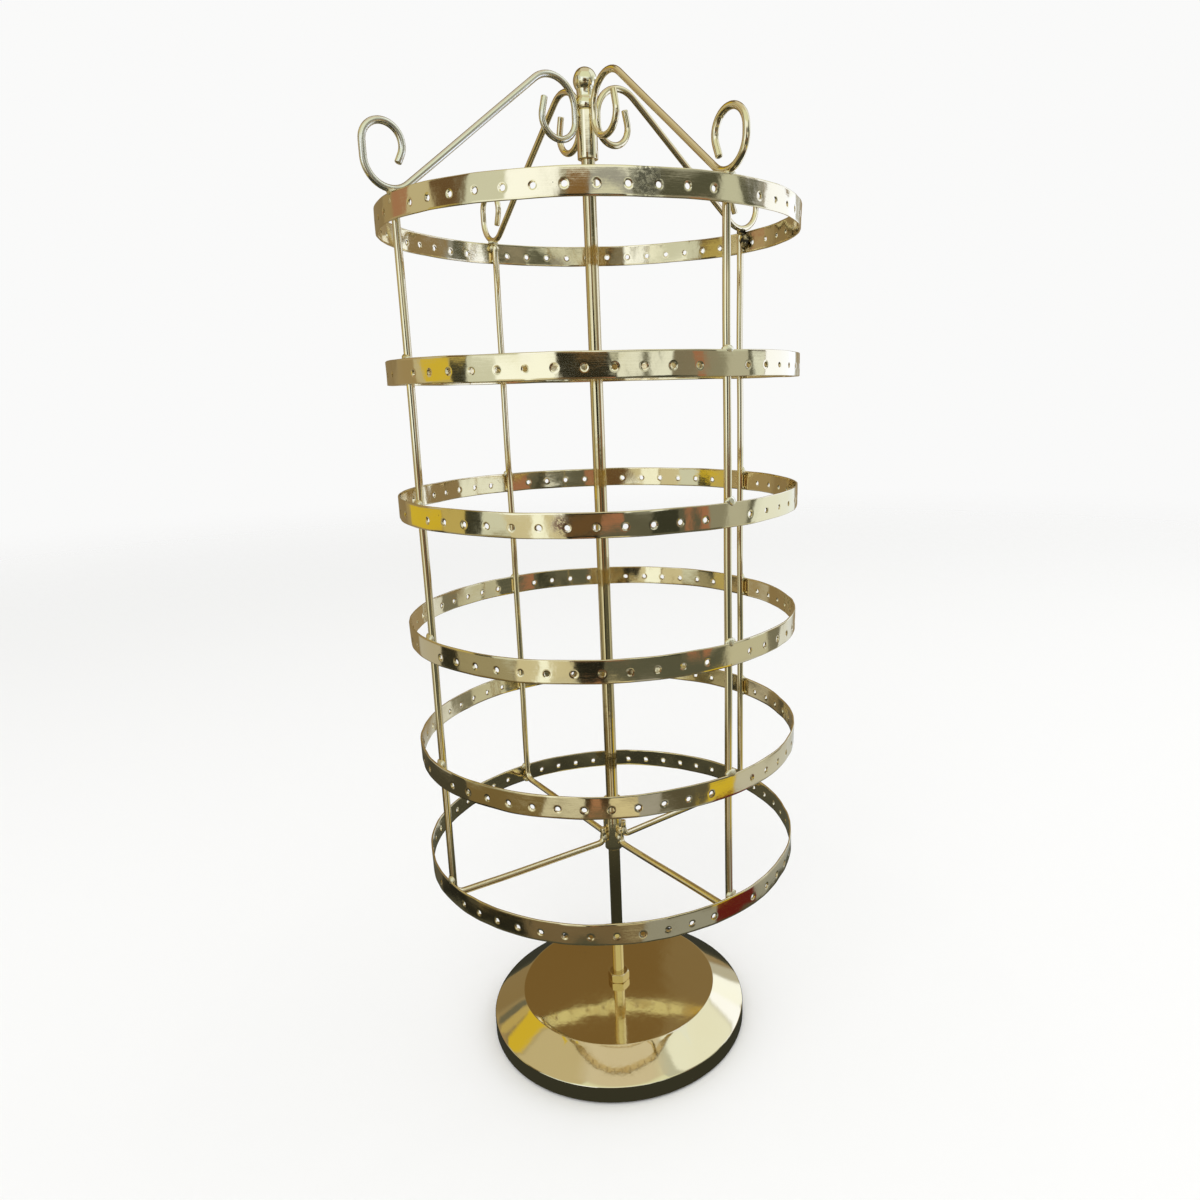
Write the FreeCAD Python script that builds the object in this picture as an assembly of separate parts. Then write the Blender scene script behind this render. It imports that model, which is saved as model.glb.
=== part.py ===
"""Rotating earring display rack, in millimetres.

A wire cage with six perforated bands hangs from the tip of a fixed round pole and
turns on it. The pole is clamped by two nuts to a pressed steel base that hides a
ballast disc. Every piece is written to parts/NAME.step.

Frame: +Z is the pole's axis, Z = 0 is the face the rack stands on. The four uprights
stand on the X and Y axes: right is +X, back is +Y, left is -X and front is -Y.
"""
import FreeCAD, Part
import math
import os

Vector = FreeCAD.Vector
ORIGIN = Vector(0, 0, 0)
UP = Vector(0, 0, 1)
SIDES = {"right": 0, "back": 90, "left": 180, "front": 270}

# ---- display bands ----
BAND_COUNT = 6
BAND_RADIUS = 92.0  # outside
BAND_THICKNESS = 0.8
BAND_HEIGHT = 10.0
LOWEST_BAND_TOP = 114.0
BAND_PITCH = 57.8
TOP_BAND_PITCH = 61.0  # the gap below the top band is a little larger
HOLES_PER_QUARTER = 12
HOLE_PITCH = 11.0  # along the outside of the band
HOLE_RADIUS = 1.1
HOLE_DROP = 5.8  # hole centre below the band's top edge
# Each band is welded on by hand, with its rows of holes turned a little from the last, in degrees.
HOLE_TURNS = [2.5, -1.7, -0.4, -0.4, 0.6, 0.8]

# ---- pole and the tube that runs on it ----
POLE_RADIUS = 3.0
POLE_FOOT = 3.2
POLE_TIP = 437.0
RUNNING_GAP = 0.1  # radial, pole in tube
TUBE_RADIUS = 4.5
HUB_BOTTOM = 99.0
HUB_TOP = 127.0
SLEEVE_BOTTOM = 428.4
SLEEVE_TOP = 447.6
PIVOT_GAP = 0.05  # between the pole's domed tip and its cup
CUP_LIP = 1.2  # the cup's rim is this far above the dome's centre
CUP_TOP = 439.0

# ---- uprights, each one wire with a spoke ----
UPRIGHT_WIRE = 1.6  # radius
UPRIGHT_BELOW_TOP = 2.0  # its top end is this far below the top band's edge
WELD_GAP = 0.02  # wires stand this far off what they are welded to
SPOKE_HEIGHT = 106.2  # centre line at the outer end
SPOKE_FALL = 1.8  # degrees, towards the hub
FOOT_BEND = 5.0
HUB_BEND = 3.2
HUB_LEG = 4.5  # straight leg up the hub tube

# ---- scrolls on the top band ----
# Bent by hand, so their ends are uneven. The runs along the sleeve are straight and welded to it.
SCROLL_WIRE = 1.4  # radius
INNER_TAILS = {"right": 4.9, "back": 5.7, "left": 5.3, "front": 5.6}
INNER_CURL = 8.1
INNER_OVERTURN = 14.0  # degrees past a half turn
SLEEVE_RUNS = {"right": 3.2, "back": 5.1, "left": 4.4, "front": 3.6}
ARCH_BEND = 11.8
ARCH_PEAK = 52.8  # centre line above the top band
SEAT_BEND = 10.4
SEAT_INSET = 2.0  # the bend's lowest point inside the band's outer face
LOOP_RISES = {"right": 4.0, "back": 4.0, "left": 5.3, "front": 2.0}
LOOP_BENDS = {"right": 8.4, "back": 8.4, "left": 7.9, "front": 8.4}
LOOP_OVERTURNS = {"right": 22.0, "back": 22.0, "left": 26.0, "front": 22.0}  # degrees past a half turn
OUTER_TAILS = {"right": 4.7, "back": 4.7, "left": 2.9, "front": 4.0}

# ---- finial ----
BEAD_RADIUS = 4.7
BEAD_HEIGHT = 5.2
BEAD_CROWN = 0.9  # how far the bead bulges past its two edges
NECK_RADIUS = 3.7
NECK_ABOVE_SLEEVE = 6.6
BALL_RADIUS = 5.2
BALL_CENTRE = 459.3
BALL_UNDERCUT = 42.0  # degrees below the ball's widest circle where the neck starts
FINIAL_TOP = 464.6

# ---- base ----
SHEET = 0.8
RIM_RADIUS = 67.0
RIM_BOTTOM = 1.0
RIM_TOP = 9.5
RIM_ROUNDING = 1.2
DISC_RADIUS = 51.0
DISC_ROUNDING = 1.5
BASE_TOP = 20.0
HEM_INNER = 63.0
BOTTOM_PLATE_RADIUS = 65.8
BALLAST_RADIUS = 48.0
BALLAST_THICKNESS = 9.0
PAD_RADIUS = 62.5

# ---- M6 hardware ----
NUT_ACROSS_FLATS = 10.0
NUT_HEIGHT = 5.0
NUT_FACE = 0.96  # the flat face's diameter over the width across flats
NUT_TURN = 18.0  # degrees from +X to a corner
NUT_CHAMFER = 30.0  # degrees
WASHER_RADIUS = 12.0
WASHER_THICKNESS = 1.5

BAND_TOPS = [LOWEST_BAND_TOP + BAND_PITCH * i for i in range(BAND_COUNT - 1)]
BAND_TOPS.append(BAND_TOPS[-1] + TOP_BAND_PITCH)
BAND_TOPS.reverse()  # band_1 is the top one
BORE_RADIUS = POLE_RADIUS + RUNNING_GAP
OVERCUT = 1.0  # how far a cutter runs past what it cuts
TINY = 1e-6


def cylinder(radius, bottom, top):
    return Part.makeCylinder(radius, top - bottom, Vector(0, 0, bottom))


def tube(outer, inner, bottom, top):
    return cylinder(outer, bottom, top).cut(cylinder(inner, bottom - OVERCUT, top + OVERCUT))


def line(a, b):
    return Part.LineSegment(Vector(a[0], 0, a[1]), Vector(b[0], 0, b[1])).toShape()


def arc(a, middle, b):
    return Part.Arc(*[Vector(r, 0, z) for r, z in (a, middle, b)]).toShape()


def polyline(*points):
    return [line(a, b) for a, b in zip(points, points[1:])]


def turned(edges):
    """The solid that a closed outline in the XZ plane makes when it turns about Z."""
    face = Part.Face(Part.Wire(edges))
    return face.revolve(ORIGIN, UP, 360)


def bent_wire(start, heading, moves, radius):
    """A round wire in the XZ plane, whose heading is in degrees from +X towards +Z.

    A move is ("run", length) or ("bend", centre-line radius, degrees), where a
    positive angle turns the heading from +X towards +Z.
    """
    r, z = start
    angle = math.radians(heading)
    edges = []
    for move in moves:
        if move[0] == "run":
            end = (r + move[1] * math.cos(angle), z + move[1] * math.sin(angle))
            edges.append(line((r, z), end))
        else:
            turn = math.radians(move[2])
            side = math.copysign(move[1], turn)
            centre = (r - side * math.sin(angle), z + side * math.cos(angle))

            def on_arc(heading_there):
                return (
                    centre[0] + side * math.sin(heading_there),
                    centre[1] - side * math.cos(heading_there),
                )

            end = on_arc(angle + turn)
            edges.append(arc((r, z), on_arc(angle + turn / 2), end))
            angle += turn
        r, z = end
    direction = math.radians(heading)
    normal = Vector(math.cos(direction), 0, math.sin(direction))
    section = Part.Wire([Part.Circle(Vector(start[0], 0, start[1]), normal, radius).toShape()])
    return Part.Wire(edges).makePipeShell([section], True, False)


def on_side(shape, side):
    placed = shape.copy()
    placed.rotate(ORIGIN, UP, SIDES[side])
    return placed


def band(top, turn):
    """A strip rolled into a hoop, with a row of holes between uprights and none behind them."""
    hoop = tube(BAND_RADIUS, BAND_RADIUS - BAND_THICKNESS, top - BAND_HEIGHT, top)
    step = HOLE_PITCH / BAND_RADIUS
    middle_hole = (HOLES_PER_QUARTER - 1) / 2
    drill_start = BAND_RADIUS - BAND_THICKNESS - OVERCUT
    drill_length = BAND_THICKNESS + 2 * OVERCUT
    drills = []
    for quarter in range(4):
        for hole in range(HOLES_PER_QUARTER):
            angle = math.radians(quarter * 90 + 45 + turn) + (hole - middle_hole) * step
            outward = Vector(math.cos(angle), math.sin(angle), 0)
            start = outward * drill_start + Vector(0, 0, top - HOLE_DROP)
            drills.append(Part.makeCylinder(HOLE_RADIUS, drill_length, start, outward))
    return hoop.cut(Part.Compound(drills))


def upright():
    """One wire: down inside the bands, in to the hub as a spoke, and up the hub tube."""
    radius = BAND_RADIUS - BAND_THICKNESS - WELD_GAP - UPRIGHT_WIRE
    leg = TUBE_RADIUS + WELD_GAP + UPRIGHT_WIRE
    top = BAND_TOPS[0] - UPRIGHT_BELOW_TOP
    fall = math.radians(SPOKE_FALL)
    foot_end = radius - FOOT_BEND * (1 - math.sin(fall))
    hub_start = leg + HUB_BEND * (1 + math.sin(fall))
    moves = [
        ("run", top - SPOKE_HEIGHT - FOOT_BEND * math.cos(fall)),
        ("bend", FOOT_BEND, SPOKE_FALL - 90),
        ("run", (foot_end - hub_start) / math.cos(fall)),
        ("bend", HUB_BEND, -SPOKE_FALL - 90),
        ("run", HUB_LEG),
    ]
    return bent_wire((radius, top), -90, moves, UPRIGHT_WIRE)


def scroll(side):
    """One wire: a curl beside the sleeve, an arch, a slope to the top band and a loop."""
    inner_tail, sleeve_run = INNER_TAILS[side], SLEEVE_RUNS[side]
    seat = BAND_TOPS[0] + SCROLL_WIRE
    touch = TUBE_RADIUS + WELD_GAP + SCROLL_WIRE
    arch = (touch + ARCH_BEND, BAND_TOPS[0] + ARCH_PEAK - ARCH_BEND)
    foot = (BAND_RADIUS - SEAT_INSET, seat + SEAT_BEND)
    across, fall = foot[0] - arch[0], foot[1] - arch[1]
    apart = math.hypot(across, fall)
    bends = ARCH_BEND + SEAT_BEND
    slope = math.degrees(math.atan2(fall, across) - math.asin(bends / apart))
    curl = (touch + INNER_CURL, arch[1] - sleeve_run)
    over = math.radians(INNER_OVERTURN)
    end = (
        curl[0] + INNER_CURL * math.cos(over) - inner_tail * math.sin(over),
        curl[1] + INNER_CURL * math.sin(over) + inner_tail * math.cos(over),
    )
    moves = [
        ("run", inner_tail),
        ("bend", INNER_CURL, -(180 + INNER_OVERTURN)),
        ("run", sleeve_run),
        ("bend", ARCH_BEND, slope - 90),
        ("run", math.sqrt(apart ** 2 - bends ** 2)),
        ("bend", SEAT_BEND, 90 - slope),
        ("run", LOOP_RISES[side]),
        ("bend", LOOP_BENDS[side], 180 + LOOP_OVERTURNS[side]),
        ("run", OUTER_TAILS[side]),
    ]
    return bent_wire(end, INNER_OVERTURN - 90, moves, SCROLL_WIRE)


def pole():
    dome = POLE_TIP - POLE_RADIUS
    shaft = cylinder(POLE_RADIUS, POLE_FOOT, dome)
    return shaft.fuse(Part.makeSphere(POLE_RADIUS, Vector(0, 0, dome))).removeSplitter()


def pivot_cup():
    """A plastic plug in the sleeve's bore with a hollow that sits on the pole's dome."""
    dome = POLE_TIP - POLE_RADIUS
    plug = cylinder(BORE_RADIUS, dome + CUP_LIP, CUP_TOP)
    return plug.cut(Part.makeSphere(POLE_RADIUS + PIVOT_GAP, Vector(0, 0, dome)))


def finial():
    """A ball on a necked collar, with a shank pressed into the sleeve."""
    bead_foot = (BEAD_RADIUS - BEAD_CROWN, SLEEVE_TOP)
    bead_head = (BEAD_RADIUS - BEAD_CROWN, SLEEVE_TOP + BEAD_HEIGHT)
    neck = SLEEVE_TOP + NECK_ABOVE_SLEEVE

    def on_ball(below):
        angle = math.radians(below)
        return (BALL_RADIUS * math.cos(angle), BALL_CENTRE - BALL_RADIUS * math.sin(angle))

    equator, ball_low, shoulder = on_ball(0), on_ball(BALL_UNDERCUT / 2), on_ball(BALL_UNDERCUT)
    crown = Part.Ellipse(
        Vector(0, 0, FINIAL_TOP), Vector(BALL_RADIUS, 0, BALL_CENTRE), Vector(0, 0, BALL_CENTRE)
    )
    edges = polyline((0, CUP_TOP), (BORE_RADIUS, CUP_TOP), (BORE_RADIUS, SLEEVE_TOP), bead_foot)
    edges += [
        arc(bead_foot, (BEAD_RADIUS, SLEEVE_TOP + BEAD_HEIGHT / 2), bead_head),
        arc(bead_head, (NECK_RADIUS, neck), shoulder),
        arc(shoulder, ball_low, equator),
        Part.ArcOfEllipse(crown, 0, math.pi / 2).toShape(),
        line((0, FINIAL_TOP), (0, CUP_TOP)),
    ]
    return turned(edges)


def base_cover():
    """A pressed sheet: flat polished disc, wide bevel, upright rim and inward hem."""
    inner_rim = RIM_RADIUS - SHEET
    bevel = math.atan2(BASE_TOP - RIM_TOP, RIM_RADIUS - DISC_RADIUS)
    disc_mitre = SHEET * math.tan(bevel / 2)
    rim_mitre = SHEET * math.tan((math.pi / 2 - bevel) / 2)
    outside = polyline(
        (POLE_RADIUS, BASE_TOP), (DISC_RADIUS, BASE_TOP), (RIM_RADIUS, RIM_TOP), (RIM_RADIUS, RIM_BOTTOM)
    )
    inside = polyline(
        (RIM_RADIUS, RIM_BOTTOM),
        (HEM_INNER, RIM_BOTTOM),
        (HEM_INNER, RIM_BOTTOM + SHEET),
        (inner_rim, RIM_BOTTOM + SHEET),
        (inner_rim, RIM_TOP - rim_mitre),
        (DISC_RADIUS - disc_mitre, BASE_TOP - SHEET),
        (POLE_RADIUS, BASE_TOP - SHEET),
        (POLE_RADIUS, BASE_TOP),
    )
    shell = turned(outside + inside)

    def circles_at(radius, height):
        circles = [e for e in shell.Edges if isinstance(e.Curve, Part.Circle)]
        return [
            e
            for e in circles
            if abs(e.Curve.Radius - radius) < TINY and abs(e.Curve.Center.z - height) < TINY
        ]

    shell = shell.makeFillet(DISC_ROUNDING, circles_at(DISC_RADIUS, BASE_TOP))
    return shell.makeFillet(RIM_ROUNDING, circles_at(RIM_RADIUS, RIM_TOP))


def hex_nut(bottom):
    """A hexagon nut with its corners chamfered at both faces, bored to the pole."""
    corner = NUT_ACROSS_FLATS / math.sqrt(3)
    top = bottom + NUT_HEIGHT
    angles = [math.radians(NUT_TURN + 60 * i) for i in range(7)]
    points = [Vector(corner * math.cos(a), corner * math.sin(a), bottom) for a in angles]
    prism = Part.Face(Part.makePolygon(points)).extrude(Vector(0, 0, NUT_HEIGHT))
    face_radius = NUT_ACROSS_FLATS / 2 * NUT_FACE
    chamfer = (corner - face_radius) * math.tan(math.radians(NUT_CHAMFER))
    envelope = turned(
        polyline(
            (0, bottom),
            (face_radius, bottom),
            (corner, bottom + chamfer),
            (corner, top - chamfer),
            (face_radius, top),
            (0, top),
            (0, bottom),
        )
    )
    return prism.common(envelope).cut(cylinder(POLE_RADIUS, bottom - OVERCUT, top + OVERCUT))


def pieces():
    """Every node's name and its solid."""
    ballast_top = BASE_TOP - SHEET
    washer_top = ballast_top - BALLAST_THICKNESS
    nut_top = washer_top - WASHER_THICKNESS
    plate = RIM_BOTTOM + SHEET
    made = {
        "base_cover": base_cover(),
        "ballast_disc": tube(BALLAST_RADIUS, POLE_RADIUS, washer_top, ballast_top),
        "bottom_plate": cylinder(BOTTOM_PLATE_RADIUS, plate, plate + SHEET),
        "base_pad": cylinder(PAD_RADIUS, 0, plate),
        "pole": pole(),
        "upper_nut": hex_nut(BASE_TOP),
        "lower_nut": hex_nut(nut_top - NUT_HEIGHT),
        "lower_washer": tube(WASHER_RADIUS, POLE_RADIUS, nut_top, washer_top),
        "hub_tube": tube(TUBE_RADIUS, BORE_RADIUS, HUB_BOTTOM, HUB_TOP),
        "top_sleeve": tube(TUBE_RADIUS, BORE_RADIUS, SLEEVE_BOTTOM, SLEEVE_TOP),
        "pivot_cup": pivot_cup(),
        "finial": finial(),
    }
    for number, (top, turn) in enumerate(zip(BAND_TOPS, HOLE_TURNS), start=1):
        made[f"band_{number}"] = band(top, turn)
    for side in SIDES:
        made[f"upright_{side}"] = on_side(upright(), side)
        made[f"scroll_{side}"] = on_side(scroll(side), side)
    return made


def main():
    os.makedirs("parts", exist_ok=True)
    for name, shape in pieces().items():
        if not shape.isValid() or len(shape.Solids) != 1:
            raise ValueError(f"{name} isn't one valid solid")
        shape.Solids[0].exportStep(f"parts/{name}.step")
        print(f"{name}: {shape.Volume:.0f} mm3")


main()
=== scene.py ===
"""The rotating display rack's visible model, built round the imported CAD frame.

Lengths are in millimetres until a mesh is made; materials, lights and the camera are in
metres. The frame is the row frame: +Z is the pole's axis, and the four uprights stand on
the X and Y axes.
"""
import math
import random

import bmesh
import bpy
from mathutils import Matrix, Vector, noise

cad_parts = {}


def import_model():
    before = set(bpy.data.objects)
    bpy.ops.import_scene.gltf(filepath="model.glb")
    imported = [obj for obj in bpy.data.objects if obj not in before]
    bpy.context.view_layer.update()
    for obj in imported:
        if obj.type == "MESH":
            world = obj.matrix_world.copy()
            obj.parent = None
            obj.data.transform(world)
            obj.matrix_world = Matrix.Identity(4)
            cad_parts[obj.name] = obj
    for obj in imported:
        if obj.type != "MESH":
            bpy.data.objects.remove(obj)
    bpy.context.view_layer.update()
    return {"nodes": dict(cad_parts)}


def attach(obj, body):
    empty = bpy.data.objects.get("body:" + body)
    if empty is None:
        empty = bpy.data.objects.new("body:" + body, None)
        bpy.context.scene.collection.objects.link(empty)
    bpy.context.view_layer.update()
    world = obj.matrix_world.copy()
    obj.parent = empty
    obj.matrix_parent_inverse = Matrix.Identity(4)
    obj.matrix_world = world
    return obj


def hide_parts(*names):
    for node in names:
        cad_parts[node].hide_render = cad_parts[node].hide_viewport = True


MM = 0.001
SIDES = {"right": 0, "back": 90, "left": 180, "front": 270}

# ---- the rack's measures, as the CAD has them ----
BAND_RADIUS = 92.0
BAND_THICKNESS = 0.8
BAND_HEIGHT = 10.0
BAND_TOPS = [406.2, 345.2, 287.4, 229.6, 171.8, 114.0]
HOLE_TURNS = [2.5, -1.7, -0.4, -0.4, 0.6, 0.8]
HOLES_PER_QUARTER = 12
HOLE_PITCH = 11.0
HOLE_RADIUS = 1.1
HOLE_DROP = 5.8
POLE_RADIUS = 3.0
POLE_FOOT = 3.2
POLE_TIP = 437.0
TUBE_RADIUS = 4.5
BORE_RADIUS = 3.1
HUB_BOTTOM, HUB_TOP = 99.0, 127.0
HUB_LEG = 4.5
SLEEVE_BOTTOM, SLEEVE_TOP = 428.4, 447.6
CUP_TOP = 439.0
WELD_GAP = 0.02
UPRIGHT_WIRE = 1.6
UPRIGHT_DROP = 2.0
SPOKE_HEIGHT = 106.2
SPOKE_FALL = 1.8
FOOT_BEND, HUB_BEND = 5.0, 3.2
UPRIGHT_RADIUS = BAND_RADIUS - BAND_THICKNESS - WELD_GAP - UPRIGHT_WIRE
SCROLL_WIRE = 1.4
SCROLL_RISE = 52.8
SEAT_BEND, ARCH_BEND, CURL_BEND = 10.4, 11.8, 8.1
CURL_OVERTURN = 14.0
INNER_TAILS = {"right": 4.9, "back": 5.7, "left": 5.3, "front": 5.6}
SLEEVE_RUNS = {"right": 3.2, "back": 5.1, "left": 4.4, "front": 3.6}
LOOP_RISES = {"right": 4.0, "back": 4.0, "left": 5.3, "front": 2.0}
LOOP_BENDS = {"right": 8.4, "back": 8.4, "left": 7.9, "front": 8.4}
LOOP_OVERTURNS = {"right": 22.0, "back": 22.0, "left": 26.0, "front": 22.0}
OUTER_TAILS = {"right": 4.7, "back": 4.7, "left": 2.9, "front": 4.0}
BASE_TOP = 20.0
BASE_RADIUS = 67.0
DISC_RADIUS = 51.0
RIM_BOTTOM, RIM_TOP = 1.0, 9.5
HEM_RADIUS = 63.0
SHEET = 0.8
PAD_RADIUS = 62.5
PAD_HEIGHT = 1.8
NUT_ACROSS_FLATS = 10.0
NUT_HEIGHT = 5.0
NUT_FACE = 0.96
NUT_TURN = 18.0

# ---- colours of the plating and of what dulls it, linear ----
GOLD_PALE = (0.87, 0.77, 0.52)
GOLD_DEEP = (0.83, 0.70, 0.42)
GOLD_MEAN = (0.85, 0.75, 0.49)
DUST = (0.16, 0.13, 0.075)
SOOT = (0.06, 0.055, 0.036)
RUST = (0.17, 0.055, 0.03)
SCORCH = (0.055, 0.048, 0.035)

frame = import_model()
scene = bpy.context.scene


# ---------------------------------------------------------------- materials
class Nodes:
    """A material's node tree, with sockets linked or set by name."""

    def __init__(self, name):
        self.material = bpy.data.materials.new(name)
        self.material.use_nodes = True
        self.tree = self.material.node_tree
        self.tree.nodes.clear()

    def add(self, kind, inputs=None, **settings):
        node = self.tree.nodes.new(kind)
        for key, value in settings.items():
            setattr(node, key, value)
        for key, value in (inputs or {}).items():
            socket = node.inputs[key]
            if isinstance(value, bpy.types.NodeSocket):
                self.tree.links.new(value, socket)
            else:
                socket.default_value = value
        return node

    def place(self):
        return self.add("ShaderNodeTexCoord").outputs["Object"]

    def noise(self, vector, scale, detail=2.0, roughness=0.5):
        inputs = {"Vector": vector, "Scale": scale, "Detail": detail, "Roughness": roughness}
        return self.add("ShaderNodeTexNoise", inputs).outputs["Fac"]

    def stretch(self, vector, scale):
        return self.add("ShaderNodeMapping", {"Vector": vector, "Scale": scale}).outputs["Vector"]

    def ramp(self, value, low, high, to_low=0.0, to_high=1.0):
        inputs = {"Value": value, "From Min": low, "From Max": high, "To Min": to_low, "To Max": to_high}
        return self.add("ShaderNodeMapRange", inputs, interpolation_type="SMOOTHSTEP").outputs["Result"]

    def math(self, operation, a, b=0.0):
        return self.add("ShaderNodeMath", {0: a, 1: b}, operation=operation).outputs["Value"]

    def mix(self, factor, a, b):
        node = self.add("ShaderNodeMix", data_type="RGBA")
        for index, value in ((0, factor), (6, a), (7, b)):
            if isinstance(value, bpy.types.NodeSocket):
                self.tree.links.new(value, node.inputs[index])
            else:
                node.inputs[index].default_value = value if index == 0 else (*value, 1.0)
        return node.outputs[2]

    def bump(self, height, distance, strength=1.0, normal=None):
        inputs = {"Height": height, "Distance": distance, "Strength": strength}
        if normal is not None:
            inputs["Normal"] = normal
        return self.add("ShaderNodeBump", inputs).outputs["Normal"]

    def finish(self, shader):
        output = self.add("ShaderNodeOutputMaterial")
        self.tree.links.new(shader, output.inputs["Surface"])
        return self.material


def gold(name, roughness, grain, peel=1.0, spots=(), burn=0.0, pale=GOLD_PALE, deep=GOLD_DEEP,
         dirt=DUST):
    """Bright gold plating on polished steel.

    grain stretches the polishing lines and peel scales the orange-peel ripple. A spot is
    (middle, inner radius, outer radius) of a patch where the plating is dull and
    speckled with dirt, and burn speckles it all.
    """
    n = Nodes(name)
    place = n.place()
    cloud = n.noise(place, 24.0, 3.0)
    lines = n.noise(n.stretch(place, grain), 1.0, 3.0, 0.6)
    specks = n.ramp(n.noise(place, 700.0, 2.0), 0.70, 0.76)
    patches = n.ramp(n.noise(place, 38.0, 2.0), 0.62, 0.72)
    colour = n.mix(cloud, pale, deep)
    dull = n.math("MULTIPLY", specks, patches)
    for middle, inner, outer in spots:
        spot = n.add("ShaderNodeVectorMath", {0: place, 1: middle}, operation="DISTANCE")
        near = n.ramp(spot.outputs["Value"], inner, outer, 1.0, 0.0)
        grit = n.ramp(n.noise(place, 900.0, 4.0, 0.7), 0.40, 0.54)
        dull = n.math("MAXIMUM", dull, n.math("MULTIPLY", near, grit))
    if burn:
        soot = n.ramp(n.noise(place, 420.0, 3.0), 0.35, 0.62)
        dull = n.math("MAXIMUM", dull, n.math("MULTIPLY", soot, burn))
    colour = n.mix(n.math("MULTIPLY", dull, 0.85), colour, dirt)
    rough = n.ramp(n.math("ADD", n.math("MULTIPLY", lines, 0.6), n.math("MULTIPLY", cloud, 0.4)),
                   0.30, 0.70, roughness * 0.6, roughness * 1.5)
    rough = n.math("ADD", rough, n.math("MULTIPLY", dull, 0.22))
    normal = n.bump(n.noise(place, 230.0, 2.0), 0.00010 * peel, 0.35)
    normal = n.bump(lines, 0.00002 * peel, 0.30, normal)
    shader = n.add("ShaderNodeBsdfPrincipled", {
        "Base Color": colour, "Metallic": 1.0, "Roughness": rough, "Normal": normal,
    })
    return n.finish(shader.outputs["BSDF"])


def grainy(name, pale, dark, metallic, roughness, scale, bump, specular=0.5):
    """Cast, zinc-plated, felt or moulded material with two colours and a fine grain."""
    n = Nodes(name)
    place = n.place()
    broad = n.noise(place, scale * 0.12, 3.0)
    fine = n.noise(place, scale, 4.0, 0.65)
    blend = n.math("ADD", n.math("MULTIPLY", broad, 0.5), n.math("MULTIPLY", fine, 0.5))
    colour = n.mix(n.ramp(blend, 0.35, 0.65), dark, pale)
    shader = n.add("ShaderNodeBsdfPrincipled", {
        "Base Color": colour,
        "Metallic": metallic,
        "Roughness": n.ramp(fine, 0.3, 0.7, roughness * 0.8, min(1.0, roughness * 1.2)),
        "Specular IOR Level": specular,
        "Normal": n.bump(fine, bump, 0.8),
    })
    return n.finish(shader.outputs["BSDF"])


SPOT_DROP = 4.7


def on_band(number, degrees, depth):
    """A place near a band's middle line, that deep inside its outer face, in metres."""
    a, r = math.radians(degrees), BAND_RADIUS - depth
    return (r * MM * math.cos(a), r * MM * math.sin(a), (BAND_TOPS[number - 1] - SPOT_DROP) * MM)


WORN_SPOT = (on_band(1, 249.0, 0.0), 0.0035, 0.0075)
BURNT_SPOT = (on_band(1, SIDES["right"] - 2.5, BAND_THICKNESS), 0.0030, 0.0062)
STAIN_SPOT = (on_band(3, 226.6, 0.0), 0.0014, 0.0052)
HOOP_GRAIN = (60.0, 60.0, 3200.0)
ROD_GRAIN = (2600.0, 2600.0, 30.0)
EVEN_GRAIN = (500.0, 500.0, 500.0)
WIRE_GRAIN = (90.0, 90.0, 90.0)
gold_hoop = gold("gold_hoop", 0.085, HOOP_GRAIN, 1.2)
gold_top_hoop = gold("gold_top_hoop", 0.085, HOOP_GRAIN, 1.2, [WORN_SPOT, BURNT_SPOT], dirt=SOOT)
gold_stained_hoop = gold("gold_stained_hoop", 0.085, HOOP_GRAIN, 1.2, [STAIN_SPOT], dirt=RUST)
gold_rod = gold("gold_rod", 0.07, ROD_GRAIN, pale=(0.76, 0.65, 0.40), deep=(0.70, 0.57, 0.31))
gold_wire = gold("gold_wire", 0.07, WIRE_GRAIN, 0.12)
thin_wire = gold("thin_wire", 0.18, WIRE_GRAIN, 0.12, pale=(0.88, 0.84, 0.71), deep=(0.85, 0.79, 0.61))
# The nut's plating is tinted darker than the rest: painted shade, standing in for the dark reflection
# that its front facet shows.
nut_gold_painted_dark = gold("nut_gold_painted_dark", 0.10, EVEN_GRAIN, 0.6, pale=(0.70, 0.57, 0.30), deep=(0.60, 0.47, 0.24))
gold_cast = gold("gold_cast", 0.12, EVEN_GRAIN, 1.0, pale=(0.87, 0.80, 0.58), deep=(0.83, 0.74, 0.49))
gold_base = gold("gold_base", 0.065, EVEN_GRAIN, 0.5)
gold_turned = gold("gold_turned", 0.06, HOOP_GRAIN, 0.6)
gold_weld = gold("gold_weld", 0.30, WIRE_GRAIN, 0.5, pale=(0.87, 0.80, 0.58), deep=(0.83, 0.74, 0.48))
burnt_weld = gold("burnt_weld", 0.30, EVEN_GRAIN, 2.0, burn=1.3, dirt=SCORCH)
felt = grainy("felt", (0.030, 0.029, 0.028), (0.008, 0.008, 0.008), 0.0, 0.95, 1800.0, 0.0003, 0.15)
iron = grainy("iron", (0.060, 0.058, 0.055), (0.020, 0.019, 0.018), 0.8, 0.65, 700.0, 0.0004)
zinc = grainy("zinc", (0.62, 0.63, 0.64), (0.46, 0.47, 0.49), 1.0, 0.30, 260.0, 0.00004)
nylon = grainy("nylon", (0.80, 0.78, 0.70), (0.72, 0.70, 0.61), 0.0, 0.35, 500.0, 0.00003)


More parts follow.
